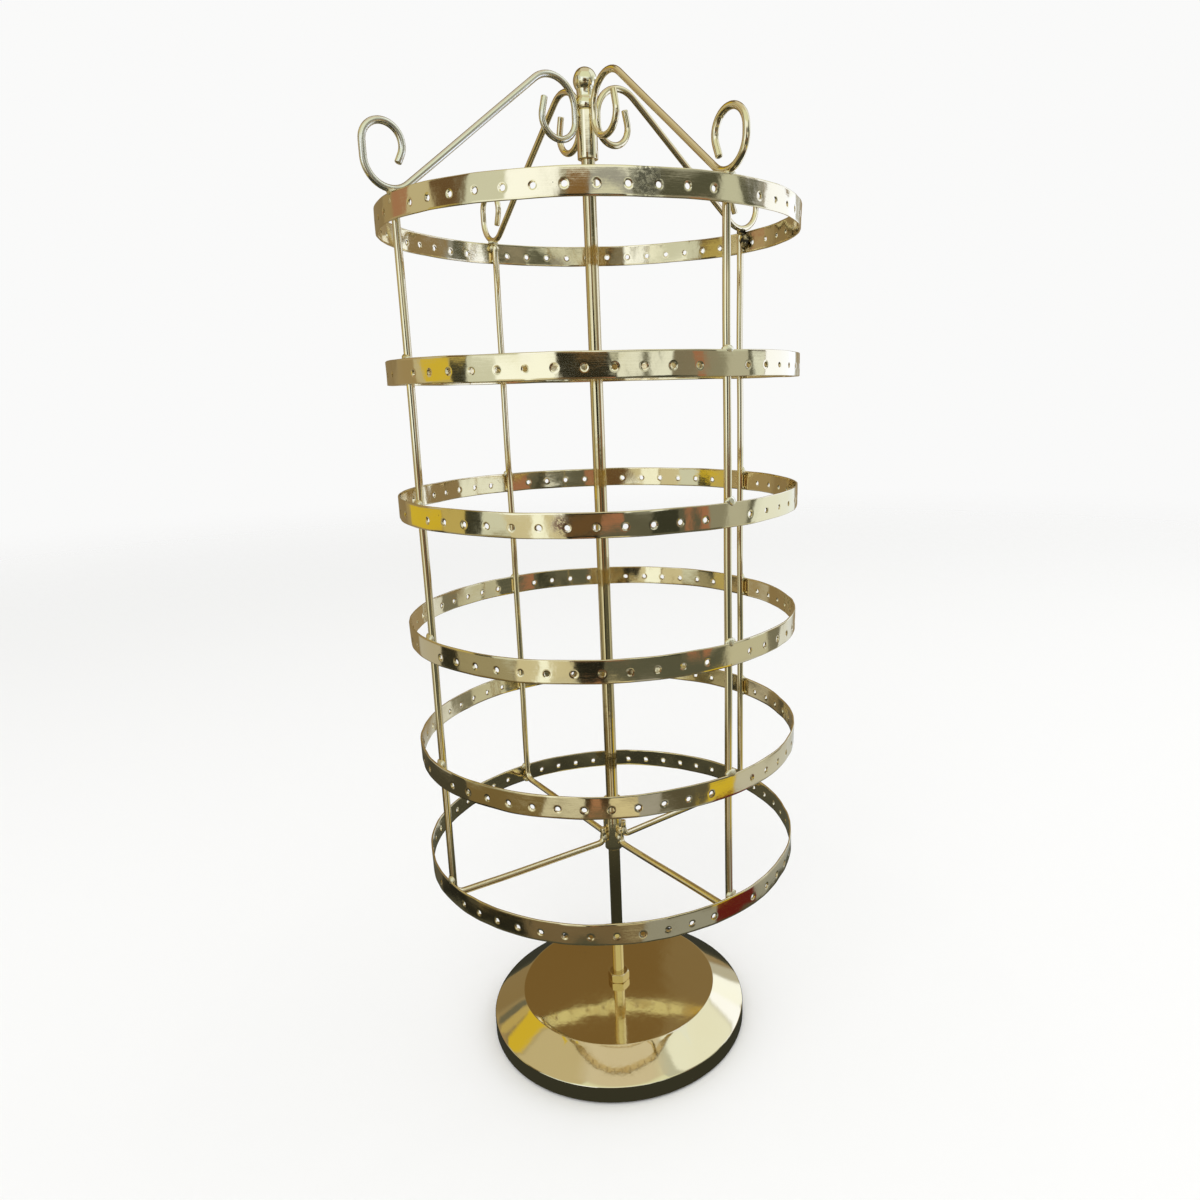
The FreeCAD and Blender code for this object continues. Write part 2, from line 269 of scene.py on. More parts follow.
# ---------------------------------------------------------------- mesh tools
class Shape:
    """Points in millimetres and the faces between them."""

    def __init__(self):
        self.points, self.faces = [], []

    def point(self, x, y, z):
        self.points.append((x, y, z))
        return len(self.points) - 1

    def strip(self, a, b, closed=True):
        """Quads between two rows, with triangles where a row is one point."""
        count = len(a) if closed else len(a) - 1
        for i in range(count):
            j = (i + 1) % len(a)
            face = list(dict.fromkeys((a[i], a[j], b[j], b[i])))
            if len(face) > 2:
                self.faces.append(face)

    def strips(self, rows):
        for a, b in zip(rows, rows[1:]):
            self.strip(a, b)

    def ring(self, radius, height, sides):
        """A row of points round the pole's axis."""
        turns = [math.tau * i / sides for i in range(sides)]
        return [self.point(radius * math.cos(a), radius * math.sin(a), height) for a in turns]

    def moved(self, change):
        self.points = [tuple(change(Vector(p))) for p in self.points]
        return self

    def add(self, other):
        start = len(self.points)
        self.points += other.points
        self.faces += [[start + i for i in face] for face in other.faces]
        return self

    def mesh(self, name, crease):
        mesh = bpy.data.meshes.new(name)
        mesh.from_pydata([Vector(p) * MM for p in self.points], [], self.faces)
        work = bmesh.new()
        work.from_mesh(mesh)
        bmesh.ops.recalc_face_normals(work, faces=work.faces)
        work.to_mesh(mesh)
        work.free()
        mesh.shade_smooth()
        mesh.set_sharp_from_angle(angle=math.radians(crease))
        return mesh


def piece(name, shape, material, body, nodes=(), crease=40.0):
    mesh = shape.mesh(name, crease)
    mesh.materials.append(material)
    obj = bpy.data.objects.new(name, mesh)
    scene.collection.objects.link(obj)
    if nodes:
        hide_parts(*nodes)
    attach(obj, body)
    return obj


def harmonics(rng, terms):
    """A smooth closed curve round the circle: a sum of waves with random phases."""
    waves = [(k, size, rng.uniform(0, math.tau)) for k, size in terms]
    return lambda angle: sum(size * math.cos(k * angle + phase) for k, size, phase in waves)


def softened(corners, closed=False, steps=5):
    """An outline with its corners rounded; a corner is (r, z, rounding)."""
    out = []
    for i, (r, z, size) in enumerate(corners):
        at_end = not closed and i in (0, len(corners) - 1)
        if size == 0 or at_end:
            out.append((r, z))
            continue
        here = Vector((r, z))
        before = Vector(corners[i - 1][:2]) - here
        after = Vector(corners[(i + 1) % len(corners)][:2]) - here
        half = before.angle(after) / 2
        reach = min(size / math.tan(half), before.length * 0.49, after.length * 0.49)
        start, end = here + before.normalized() * reach, here + after.normalized() * reach
        centre = here + (before.normalized() + after.normalized()).normalized() * (reach / math.cos(half))
        first, last = start - centre, end - centre
        for k in range(steps + 1):
            share = k / steps
            spoke = first.slerp(last, share) * first.length
            out.append(tuple(centre + spoke))
    return out


def spaced(profile, step, closed=False):
    """The profile with its long runs divided."""
    out = []
    ends = list(zip(profile, profile[1:] + profile[:1])) if closed else list(zip(profile, profile[1:]))
    for (r0, z0), (r1, z1) in ends:
        count = max(1, round(math.hypot(r1 - r0, z1 - z0) / step))
        out += [(r0 + (r1 - r0) * k / count, z0 + (z1 - z0) * k / count) for k in range(count)]
    if not closed:
        out.append(profile[-1])
    return out


def lathe(profile, sides, closed=False):
    """The profile turned round the pole's axis; a point on the axis is one point."""
    shape = Shape()
    rows = []
    for r, z in profile:
        on_axis = r < 1e-6
        rows.append([shape.point(0, 0, z)] * sides if on_axis else shape.ring(r, z, sides))
    shape.strips(rows)
    if closed:
        shape.strip(rows[-1], rows[0])
    return shape


def wire_path(start, heading, moves, step=2.5, bend_step=7.0):
    """(r, z, heading) along a bent wire, the heading in radians from +r towards +z."""
    r, z = start
    angle = math.radians(heading)
    path = [(r, z, angle)]
    for move in moves:
        if move[0] == "run":
            count = max(1, round(move[1] / step))
            for k in range(1, count + 1):
                far = move[1] * k / count
                path.append((r + far * math.cos(angle), z + far * math.sin(angle), angle))
        else:
            turn = math.radians(move[2])
            side = math.copysign(move[1], turn)
            centre = (r - side * math.sin(angle), z + side * math.cos(angle))
            count = max(2, round(abs(move[2]) / bend_step))
            for k in range(1, count + 1):
                a = angle + turn * k / count
                path.append((centre[0] + side * math.sin(a), centre[1] - side * math.cos(a), a))
            angle += turn
        r, z = path[-1][:2]
    return path


def sweep(path, radius, sides, seed, wander, cap=0.4):
    """A round wire along a path in the r-z plane, a little out of true, with rounded ends."""
    shape = Shape()
    rows, far = [], 0.0
    last = path[0]
    caps = []
    for k in (1, 2, 3, 4):
        a = math.radians(22.5 * k)
        caps.append((cap * math.sin(a), radius - cap * (1 - math.cos(a))))
    sections = [(path[0], -ahead, size) for ahead, size in reversed(caps)]
    sections += [(p, 0.0, radius) for p in path]
    sections += [(path[-1], ahead, size) for ahead, size in caps]
    beside = Vector((0, 1, 0))
    for (r, z, heading), ahead, size in sections:
        far += math.hypot(r - last[0], z - last[1])
        last = (r, z)
        along = Vector((math.cos(heading), 0, math.sin(heading)))
        across = Vector((-math.sin(heading), 0, math.cos(heading)))
        off = noise.noise(Vector((far / 38.0, seed, 0.5))) * wander
        off_beside = noise.noise(Vector((far / 55.0, seed, 7.5))) * wander * 1.6
        centre = Vector((r, 0, z)) + along * ahead + across * off + beside * off_beside
        ring = []
        for i in range(sides):
            a = math.tau * i / sides
            ring.append(shape.point(*(centre + (across * math.cos(a) + beside * math.sin(a)) * size)))
        rows.append((centre, ring))
    shape.strips([ring for _, ring in rows])
    for centre, ring in (rows[0], rows[-1]):
        tip = shape.point(*centre)
        shape.strip(ring, [tip] * sides)
    return shape


def lump(seed, centre, size, rough=0.16):
    """A weld bead: a small uneven blob."""
    work = bmesh.new()
    bmesh.ops.create_icosphere(work, subdivisions=3, radius=1.0)
    shape = Shape()
    for v in work.verts:
        p = v.co.normalized()
        swell = 1 + rough * noise.noise(p * 1.3 + Vector((seed * 3.1, 0, 0)))
        swell += rough * 0.3 * noise.noise(p * 2.6 + Vector((0, seed * 2.3, 0)))
        shape.point(*(Vector(centre) + Vector((p.x * size[0], p.y * size[1], p.z * size[2])) * swell))
    shape.faces = [[v.index for v in f.verts] for f in work.faces]
    work.free()
    return shape


def on_side(shape, side):
    turn = Matrix.Rotation(math.radians(SIDES[side]), 3, "Z")
    return shape.moved(lambda p: turn @ p)


# ---------------------------------------------------------------- perforated bands
SQUARE = 3.2  # half the side of the patch round a hole
SQUARE_STEPS = 5
ROW_DROPS = [0.3, 0.9, 1.7]
SQUARE_ROW = len(ROW_DROPS)
ROW_DROPS += [HOLE_DROP - SQUARE + 2 * SQUARE * k / SQUARE_STEPS for k in range(SQUARE_STEPS + 1)]
ROW_DROPS += [9.7]
HOLE_RINGS = [HOLE_RADIUS, 1.22, 1.42, 1.72, 2.2]
EDGE_PROFILE = [(0.03, 0.17), (0.10, 0.07), (0.20, 0.02), (0.32, 0.0)]  # depth, drop of the rounded edge
EDGE_PROFILE += [(BAND_THICKNESS - depth, drop) for depth, drop in reversed(EDGE_PROFILE)]
FACE_DEPTHS = {"out": 0.0, "in": BAND_THICKNESS}
DISH_DEPTH, DISH_WIDTH = 0.14, 0.32
BURR_HEIGHT, BURR_WIDTH = 0.10, 0.28


def hoop(number):
    """A strip rolled into a hoop. Punching has dished the outside round each hole and bent
    the strip a little more at the holes than between them."""
    rng = random.Random(100 + number)
    top = BAND_TOPS[number - 1]
    turn = HOLE_TURNS[number - 1]
    ripple = harmonics(rng, (
        (2, 0.30), (3, 0.20), (5, 0.11), (8, 0.08), (13, 0.07), (19, 0.05), (29, 0.03), (41, 0.012),
    ))
    tilt = harmonics(rng, ((2, 0.008), (5, 0.009), (9, 0.010), (15, 0.010), (24, 0.008), (37, 0.005)))
    crown = harmonics(rng, ((1, 0.02), (4, 0.03), (11, 0.03), (21, 0.025)))
    lift = harmonics(rng, ((2, 0.12), (3, 0.10), (7, 0.06), (12, 0.05), (23, 0.03)))
    step = HOLE_PITCH / BAND_RADIUS
    holes = []
    for quarter in range(4):
        for k in range(HOLES_PER_QUARTER):
            middle = math.radians(quarter * 90 + 45 + turn)
            holes.append(middle + (k - (HOLES_PER_QUARTER - 1) / 2) * step)
    kinks = [0.085 * rng.uniform(0.3, 1.3) for _ in holes]

    def flat_to_hole(angle, k):
        return (angle - holes[k] + math.pi) % (math.tau) - math.pi

    def out_of_round(angle, nearest, drop):
        along = flat_to_hole(angle, nearest) * BAND_RADIUS
        kink = 0.0
        if abs(along) < HOLE_PITCH / 2:
            kink = kinks[nearest] * (1 + math.cos(math.tau * along / HOLE_PITCH)) / 2
        up = BAND_HEIGHT / 2 - drop
        bulge = (crown(angle) - 0.03) * (2 * up / BAND_HEIGHT) ** 2
        return ripple(angle) + kink + tilt(angle) * up + bulge

    shape = Shape()

    def at(angle, drop, depth, nearest, face=None):
        """A point of the strip: face is "out" or "in" where the dish or burr shows."""
        r = BAND_RADIUS - depth + out_of_round(angle, nearest, drop)
        if face:
            along = flat_to_hole(angle, nearest) * BAND_RADIUS
            far = max(0.0, math.hypot(along, drop - HOLE_DROP) - HOLE_RADIUS)
            if face == "out":
                r -= DISH_DEPTH * math.exp(-(far / DISH_WIDTH) ** 2)
            else:
                r -= BURR_HEIGHT * math.exp(-(far / BURR_WIDTH) ** 2)
        z = top - drop + lift(angle)
        return shape.point(r * math.cos(angle), r * math.sin(angle), z)

    columns, first_of = [], []
    for k, angle in enumerate(holes):
        first_of.append(len(columns))
        for i in range(SQUARE_STEPS + 1):
            columns.append((angle + (2 * i / SQUARE_STEPS - 1) * SQUARE / BAND_RADIUS, k))
        following = holes[(k + 1) % len(holes)] + (math.tau if k + 1 == len(holes) else 0)
        start = columns[-1][0]
        gap = following - SQUARE / BAND_RADIUS - start
        count = max(2, round(gap * BAND_RADIUS / 1.7))
        for i in range(1, count):
            nearest = k if i <= count / 2 else (k + 1) % len(holes)
            columns.append((start + gap * i / count, nearest))

    inside_square, no_cell = set(), set()
    for first in first_of:
        for i in range(SQUARE_STEPS):
            for j in range(SQUARE_STEPS):
                no_cell.add((first + i, SQUARE_ROW + j))
                if i and j:
                    inside_square.add((first + i, SQUARE_ROW + j))

    grids = {}
    for face, depth in FACE_DEPTHS.items():
        grid = {}
        for i, (angle, nearest) in enumerate(columns):
            for j, drop in enumerate(ROW_DROPS):
                if (i, j) not in inside_square:
                    grid[i, j] = at(angle, drop, depth, nearest, face)
        for i in range(len(columns)):
            after = (i + 1) % len(columns)
            for j in range(len(ROW_DROPS) - 1):
                if (i, j) not in no_cell:
                    shape.faces.append([grid[i, j], grid[after, j], grid[after, j + 1], grid[i, j + 1]])
        grids[face] = grid

    last = len(ROW_DROPS) - 1
    rims = {}
    for face, depth in FACE_DEPTHS.items():
        grid = grids[face]
        for k, first in enumerate(first_of):
            low, high, row, end = first, first + SQUARE_STEPS, SQUARE_ROW, SQUARE_ROW + SQUARE_STEPS
            loop = [(i, row) for i in range(low, high)] + [(high, j) for j in range(row, end)]
            loop += [(i, end) for i in range(high, low, -1)] + [(low, j) for j in range(end, row, -1)]
            outer = [grid[c] for c in loop]
            rings = []
            for radius in HOLE_RINGS:
                ring = []
                for m in range(len(loop)):
                    a = math.radians(135) - math.tau * m / len(loop)
                    angle = holes[k] + radius * math.cos(a) / BAND_RADIUS
                    ring.append(at(angle, HOLE_DROP - radius * math.sin(a), depth, k, face))
                rings.append(ring)
            shape.strips(rings + [outer])
            rims[face, k] = rings[0]
    for k in range(len(holes)):
        shape.strip(rims["out", k], rims["in", k])

    for j, sign in ((0, 1), (last, -1)):
        rows = [[grids["out"][i, j] for i in range(len(columns))]]
        for depth, drop in EDGE_PROFILE:
            level = drop if sign > 0 else BAND_HEIGHT - drop
            rows.append([at(angle, level, depth, nearest) for angle, nearest in columns])
        rows.append([grids["in"][i, j] for i in range(len(columns))])
        shape.strips(rows)
    return shape


for number in range(1, len(BAND_TOPS) + 1):
    material = {1: gold_top_hoop, 3: gold_stained_hoop}.get(number, gold_hoop)
    piece(f"hoop_{number}", hoop(number), material, "cage", [f"band_{number}"], crease=50.0)


# ---------------------------------------------------------------- wires
def upright_path():
    """Down inside the bands, in as a spoke, and up against the hub tube."""
    leg = TUBE_RADIUS + WELD_GAP + UPRIGHT_WIRE
    fall = math.radians(SPOKE_FALL)
    top = BAND_TOPS[0] - UPRIGHT_DROP
    foot_end = UPRIGHT_RADIUS - FOOT_BEND * (1 - math.sin(fall))
    hub_start = leg + HUB_BEND * (1 + math.sin(fall))
    moves = [
        ("run", top - SPOKE_HEIGHT - FOOT_BEND * math.cos(fall)),
        ("bend", FOOT_BEND, SPOKE_FALL - 90),
        ("run", (foot_end - hub_start) / math.cos(fall)),
        ("bend", HUB_BEND, -SPOKE_FALL - 90),
        ("run", HUB_LEG),
    ]
    return wire_path((UPRIGHT_RADIUS, top), -90, moves)


def scroll_path(side):
    """The inner curl, up the sleeve, over the arch, down to the seat and round the outer loop."""
    inner_tail, sleeve_run = INNER_TAILS[side], SLEEVE_RUNS[side]
    seat = BAND_TOPS[0] + SCROLL_WIRE
    touch = TUBE_RADIUS + WELD_GAP + SCROLL_WIRE
    arch = (touch + ARCH_BEND, BAND_TOPS[0] + SCROLL_RISE - ARCH_BEND)
    foot = (BAND_RADIUS - 2.0, seat + SEAT_BEND)
    across, fall = foot[0] - arch[0], foot[1] - arch[1]
    apart = math.hypot(across, fall)
    bends = ARCH_BEND + SEAT_BEND
    slope = math.degrees(math.atan2(fall, across) - math.asin(bends / apart))
    over = math.radians(CURL_OVERTURN)
    curl = (touch + CURL_BEND, arch[1] - sleeve_run)
    end = (
        curl[0] + CURL_BEND * math.cos(over) - inner_tail * math.sin(over),
        curl[1] + CURL_BEND * math.sin(over) + inner_tail * math.cos(over),
    )
    moves = [
        ("run", inner_tail),
        ("bend", CURL_BEND, -180 - CURL_OVERTURN),
        ("run", sleeve_run),
        ("bend", ARCH_BEND, slope - 90),
        ("run", math.sqrt(apart ** 2 - bends ** 2)),
        ("bend", SEAT_BEND, 90 - slope),
        ("run", LOOP_RISES[side]),
        ("bend", LOOP_BENDS[side], 180 + LOOP_OVERTURNS[side]),
        ("run", OUTER_TAILS[side]),
    ]
    return wire_path(end, CURL_OVERTURN - 90, moves)


for seed, side in enumerate(SIDES):
    upright = sweep(upright_path(), UPRIGHT_WIRE, 20, seed * 3.7, 0.22)
    piece(f"upright_wire_{side}", on_side(upright, side), gold_wire, "cage", [f"upright_{side}"])
    scroll = sweep(scroll_path(side), SCROLL_WIRE, 20, 40 + seed * 2.9, 0.25)
    plating = thin_wire if side == "left" else gold_wire
    piece(f"scroll_wire_{side}", on_side(scroll, side), plating, "cage", [f"scroll_{side}"])

# Weld beads: near each band's two edges at the uprights, at the hub and the neck, and at the
# scrolls' seats, one of them scorched.
for seed, side in enumerate(SIDES):
    rng = random.Random(500 + seed)
    beads = Shape()
    seam = UPRIGHT_RADIUS + 0.9
    for number, top in enumerate(BAND_TOPS, start=1):
        lifted = -2.8 if number == 1 else -0.1
        size = (rng.uniform(1.3, 1.6), rng.uniform(2.4, 3.1), rng.uniform(1.9, 2.5))
        beads.add(lump(seed * 10 + number, (seam, rng.uniform(-0.4, 0.4), top + lifted), size))
        size = (0.9, rng.uniform(1.9, 2.3), rng.uniform(1.0, 1.5))
        beads.add(lump(seed * 10 + number + 5, (seam, 0.0, top - BAND_HEIGHT + 1.2), size))
    hub_seam, neck_seam = (6.0, 0.0, HUB_BOTTOM + 7.4), (5.1, 0.0, SLEEVE_TOP - 2.6)
    beads.add(lump(seed + 72, hub_seam, (1.9, 2.2, 3.0), 0.10))
    beads.add(lump(seed + 73, neck_seam, (0.8, 1.6, 1.7)))
    piece(f"weld_beads_{side}", on_side(beads, side), gold_weld, "cage")
    burnt = side == "right"
    seat = lump(seed + 80, (BAND_RADIUS - 1.3, 0.2, BAND_TOPS[0] + 0.2), (1.7, 2.7, 1.4), 0.22)
    if burnt:
        below = (BAND_RADIUS - 2.2, -2.4, BAND_TOPS[0] - 4.6)
        seat.add(lump(seed + 90, below, (1.8, 3.3, 3.1), 0.35))
    piece(f"seat_bead_{side}", on_side(seat, side), burnt_weld if burnt else gold_weld, "cage")


# ---------------------------------------------------------------- pole, tubes and finial
def rod():
    """The pole, from its foot inside the base to its domed tip."""
    dome = POLE_TIP - POLE_RADIUS
    profile = [(0.0, POLE_FOOT)] + spaced([(2.6, POLE_FOOT), (POLE_RADIUS, POLE_FOOT + 0.4)], 1.0)
    profile += spaced([(POLE_RADIUS, POLE_FOOT + 0.6), (POLE_RADIUS, dome)], 4.0)
    for k in range(1, 9):
        a = math.radians(90 * k / 8)
        profile.append((POLE_RADIUS * math.cos(a) if k < 8 else 0.0, dome + POLE_RADIUS * math.sin(a)))
    return lathe(profile, 40)


def bow(p):
    """The small run-out that a drawn rod has, kept inside the tubes' running gap."""
    return Vector((p.x + 0.03 * math.sin(p.z / 61.0), p.y + 0.03 * math.cos(p.z / 47.0), p.z))


def tube(bottom, top):
    corners = [
        (BORE_RADIUS, bottom, 0.15), (TUBE_RADIUS, bottom, 0.3),
        (TUBE_RADIUS, top, 0.3), (BORE_RADIUS, top, 0.15),
    ]
    return lathe(spaced(softened(corners, closed=True), 2.0, closed=True), 48, closed=True)


def finial():
    """The cast finial: a plug in the sleeve's mouth, a bead, a waist and a ball."""
    bead, bead_height, crown_of_bead = 4.7, 5.2, 0.9
    waist_radius, waist_rise = 3.57, 6.5
    ball, ball_centre, crown = 5.2, 459.3, 464.6
    profile = [(0.0, CUP_TOP), (BORE_RADIUS, CUP_TOP), (BORE_RADIUS, SLEEVE_TOP)]
    bulge = ((bead_height / 2) ** 2 + crown_of_bead ** 2) / (2 * crown_of_bead)
    for k in range(17):
        up = bead_height * (k / 16 - 0.5)
        r = bead - bulge + math.sqrt(bulge ** 2 - up ** 2)
        profile.append((r, SLEEVE_TOP + bead_height / 2 + up))
    start = Vector((bead - crown_of_bead, SLEEVE_TOP + bead_height))
    under = math.radians(42)
    shoulder = Vector((ball * math.cos(under), ball_centre - ball * math.sin(under)))
    waist = Vector((waist_radius, SLEEVE_TOP + waist_rise))
    for k in range(1, 8):
        t = k / 8
        profile.append(tuple(start * (1 - t) ** 2 + waist * (2 * t * (1 - t)) + shoulder * t * t))
    for k in range(11):
        a = under * (1 - k / 10)
        profile.append((ball * math.cos(a), ball_centre - ball * math.sin(a)))
    for k in range(1, 17):
        a = math.radians(90 * k / 16)
        r = ball * math.cos(a) if k < 16 else 0.0
        profile.append((r, ball_centre + (crown - ball_centre) * math.sin(a)))
    return lathe(profile, 56)


def cast_wobble(p):
    """A cast ball's skin isn't quite round."""
    if p.z < SLEEVE_TOP + 0.1 or math.hypot(p.x, p.y) < 1e-6:
        return p
    swell = 0.24 * noise.noise(p / 4.2) + 0.07 * noise.noise(p / 1.7)
    out = Vector((p.x, p.y, 0)).normalized()
    return p + out * swell


piece("pole_rod", rod().moved(bow), gold_rod, "base", ["pole"])
piece("hub_barrel", tube(HUB_BOTTOM, HUB_TOP), gold_turned, "cage", ["hub_tube"])
piece("neck_barrel", tube(SLEEVE_BOTTOM, SLEEVE_TOP), gold_turned, "cage", ["top_sleeve"])
piece("ball_finial", finial().moved(cast_wobble), gold_cast, "cage", ["finial"])


# ---------------------------------------------------------------- base
def base_shell():
    """The pressed cover: polished disc, bevel, rim and the hem that turns in under it."""
    outside = [
        (POLE_RADIUS, BASE_TOP, 0.0), (DISC_RADIUS, BASE_TOP, 1.3),
        (BASE_RADIUS, RIM_TOP, 1.0), (BASE_RADIUS, RIM_BOTTOM, 0.35),
    ]
    inside = [
        (HEM_RADIUS, RIM_BOTTOM, 0.2), (HEM_RADIUS, RIM_BOTTOM + SHEET, 0.2),
        (BASE_RADIUS - SHEET, RIM_BOTTOM + SHEET, 0.2), (BASE_RADIUS - SHEET, RIM_TOP - 0.45, 0.4),
        (DISC_RADIUS - 0.25, BASE_TOP - SHEET, 0.6), (POLE_RADIUS, BASE_TOP - SHEET, 0.0),
    ]
    profile = spaced(softened(outside + inside, closed=True, steps=6), 2.0, closed=True)
    return lathe(profile, 192, closed=True)


def pressed(p):
    """The slight unevenness of thin sheet after pressing and polishing."""
    r = math.hypot(p.x, p.y)
    fade = min(1.0, max(0.0, (r - 8.0) / 12.0))
    broad = 0.10 * noise.noise(Vector((p.x, p.y, 0)) / 30.0)
    fine = 0.025 * noise.noise(Vector((p.x, p.y, 9.0)) / 9.0)
    if p.z < 9.0:
        out = Vector((p.x, p.y, 0)).normalized()
        return p + out * noise.noise(Vector((p.x / 14.0, p.y / 14.0, p.z / 40.0))) * 0.05
    return p + Vector((0, 0, (broad + fine) * fade))


def nut(bottom):
    """A hexagon nut, chamfered at both faces, its columns lying on its corners."""
    shape = Shape()
    flat = NUT_ACROSS_FLATS / 2
    face = flat * NUT_FACE
    top = bottom + NUT_HEIGHT
    per_side = 10
    chamfer = math.tan(math.radians(30))
    rows = [[] for _ in range(6)]
    for i in range(6 * per_side):
        a = math.radians(NUT_TURN) + math.tau * i / (6 * per_side)
        on_flat = (i % per_side) / per_side * math.radians(60) - math.radians(30)
        r = flat / math.cos(on_flat)
        drop = (r - face) * chamfer
        for row, (radius, z) in zip(rows, (
            (POLE_RADIUS, bottom), (face, bottom), (r, bottom + drop),
            (r, top - drop), (face, top), (POLE_RADIUS, top),
        )):
            row.append(shape.point(radius * math.cos(a), radius * math.sin(a), z))
    shape.strips(rows + rows[:1])
    return shape


def felt_disc():
    corners = [(PAD_RADIUS, 0.0, 0.5), (PAD_RADIUS, PAD_HEIGHT, 0.3)]
    profile = softened([(0.0, 0.0, 0.0), *corners, (0.0, PAD_HEIGHT, 0.0)])
    return lathe(spaced(profile, 2.5), 160)


def fluffy(p):
    if math.hypot(p.x, p.y) < PAD_RADIUS - 2.0:
        return p
    out = Vector((p.x, p.y, 0)).normalized()
    return p + out * (noise.noise(p / 1.4) - 0.5) * 0.12


piece("base_shell", base_shell().moved(pressed), gold_base, "base", ["base_cover"], crease=50.0)
foot_nut = piece("foot_nut", nut(BASE_TOP), nut_gold_painted_dark, "base", ["upper_nut"], crease=15.0)
bevel = foot_nut.modifiers.new("edges", "BEVEL")
bevel.width, bevel.segments = 0.3 * MM, 3
bevel.limit_method, bevel.angle_limit = "ANGLE", math.radians(20)
piece("felt_foot", felt_disc().moved(fluffy), felt, "base", ["base_pad"])

# the hidden pieces keep their CAD meshes
for node, material in {
    "ballast_disc": iron,
    "bottom_plate": zinc,
    "lower_nut": zinc,
    "lower_washer": zinc,
    "pivot_cup": nylon,
}.items():
    materials = frame["nodes"][node].data.materials
    materials.clear()
    materials.append(material)


# ---------------------------------------------------------------- what the plating reflects
CAMERA_PLACE = Vector((-0.23568, -0.35150, 0.33236))  # metres
CAMERA_HEADING = 37.171  # degrees clockwise from +Y
CAMERA_PITCH = 13.871
CAMERA_ROLL = -1.368
CAMERA_LENS = 26.71
CAMERA_SHIFT = (-0.0460, 0.0049)
ROOM_RADIUS = 8.0  # metres
ROOM_HEIGHT = 0.25


def shown(r, g, b):
    """The light that makes the plating show an sRGB colour."""
    linear = [((v / 255 + 0.055) / 1.055) ** 2.4 if v > 10 else v / 255 / 12.92 for v in (r, g, b)]
    return [v / tint for v, tint in zip(linear, GOLD_MEAN)]
